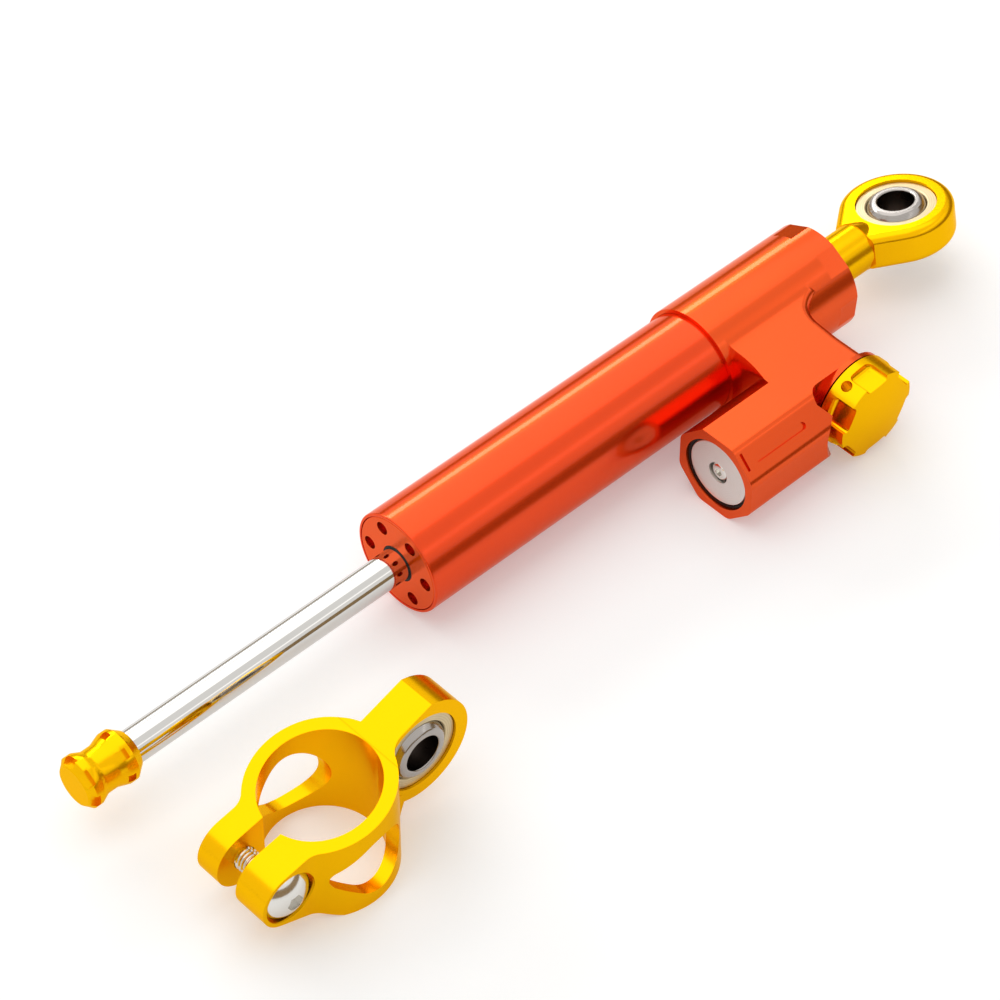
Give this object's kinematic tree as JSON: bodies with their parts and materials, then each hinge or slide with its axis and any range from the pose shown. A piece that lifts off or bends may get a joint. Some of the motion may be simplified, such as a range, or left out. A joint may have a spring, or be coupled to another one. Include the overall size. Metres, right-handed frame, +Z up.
{
  "type": "motorcycle steering damper",
  "caption": "Through-rod hydraulic steering damper with a side reservoir, a click adjuster, a spherical-bearing rod eye and a loose split frame clamp.",
  "frame": {"origin": "centre of the ball bore in the rod's rear eye", "axes": "+X along the damper from the barrel to the rod's rear eye, +Z up off the table it lies on, the adjuster knob looks along -Y"},
  "size_m": [0.3, 0.0799, 0.0347],
  "materials": {
    "orange_alloy": "orange anodised, glossy",
    "gold_alloy": "gold anodised, glossy",
    "chrome": "hard chrome, polished",
    "ball_steel": "polished bearing steel",
    "race_steel": "fine turned, pale",
    "screw_steel": "polished screw steel",
    "silver_alloy": "satin turned",
    "seal_rubber": "dark seal rubber",
    "bush_bronze": "lined bronze",
    "needle_brass": "turned brass",
    "band_plastic": "dark low-friction plastic"
  },
  "bodies": {
    "barrel": {"barrel_tube": "orange_alloy", "front_gland": "orange_alloy", "front_wiper": "seal_rubber", "front_bush": "bush_bronze", "front_oring": "seal_rubber", "head_block": "orange_alloy", "inner_gland": "silver_alloy", "inner_bush": "bush_bronze", "rear_seal": "seal_rubber", "rear_cap": "orange_alloy", "reservoir_plug": "silver_alloy", "plug_ring": "seal_rubber", "gas_screw": "screw_steel", "valve_bush": "screw_steel"},
    "piston_band": {"piston_band": "band_plastic"},
    "rod": {"rod": "chrome", "piston": "silver_alloy", "piston_clips": "screw_steel", "spool": "gold_alloy", "rear_eye": "gold_alloy", "rear_race": "race_steel"},
    "rear_ball": {"rear_ball": "ball_steel"},
    "knob": {"knob": "gold_alloy", "knob_grub_screw": "screw_steel", "valve_stem": "screw_steel"},
    "needle": {"needle": "needle_brass"},
    "floating_piston": {"floating_piston": "silver_alloy", "floating_oring": "seal_rubber"},
    "clamp": {"clamp": "gold_alloy", "clamp_race": "race_steel"},
    "clamp_ball": {"clamp_ball": "ball_steel"},
    "pinch_bolt": {"pinch_bolt": "screw_steel"}
  },
  "joints": [
    {"name": "rod_stroke", "type": "slide", "parent": "barrel", "child": "piston_band", "axis": [1, 0, 0], "range_m": [0, 0.068]},
    {"name": "rod_turn", "type": "hinge", "parent": "piston_band", "child": "rod", "pos_m": [-0.159, 0, 0], "axis": [1, 0, 0], "continuous": true},
    {"name": "rear_ball_tilt", "type": "hinge", "parent": "rod", "child": "rear_ball", "pos_m": [0, 0, 0], "axis": [1, 0, 0], "range_deg": [-12, 12]},
    {"name": "knob_turn", "type": "hinge", "parent": "barrel", "child": "knob", "pos_m": [-0.0573, -0.0365, -0.002], "axis": [0, -1, 0], "range_deg": [0, 300]},
    {"name": "needle_lift", "type": "slide", "parent": "barrel", "child": "needle", "axis": [0, -1, 0], "range_m": [0, 0.00063]},
    {"name": "floating_piston_slide", "type": "slide", "parent": "barrel", "child": "floating_piston", "axis": [1, 0, 0], "range_m": [-0.004, 0.004]},
    {"name": "clamp_lift", "type": "slide", "parent": "barrel", "child": "clamp", "axis": [0, 0, 1], "range_m": [0, 0.1]},
    {"name": "clamp_ball_tilt", "type": "hinge", "parent": "clamp", "child": "clamp_ball", "pos_m": [-0.2212, -0.0458, 0.005], "axis": [0, 0, 1], "range_deg": [-12, 12]},
    {"name": "pinch_bolt_turn", "type": "hinge", "parent": "clamp", "child": "pinch_bolt", "pos_m": [-0.2684, -0.0458, -0.0011], "axis": [0, -1, 0], "continuous": true}
  ],
  "couplings": [
    {"joint": "needle_lift", "follows": "knob_turn", "m_per_rad": 0.00011937}
  ]
}
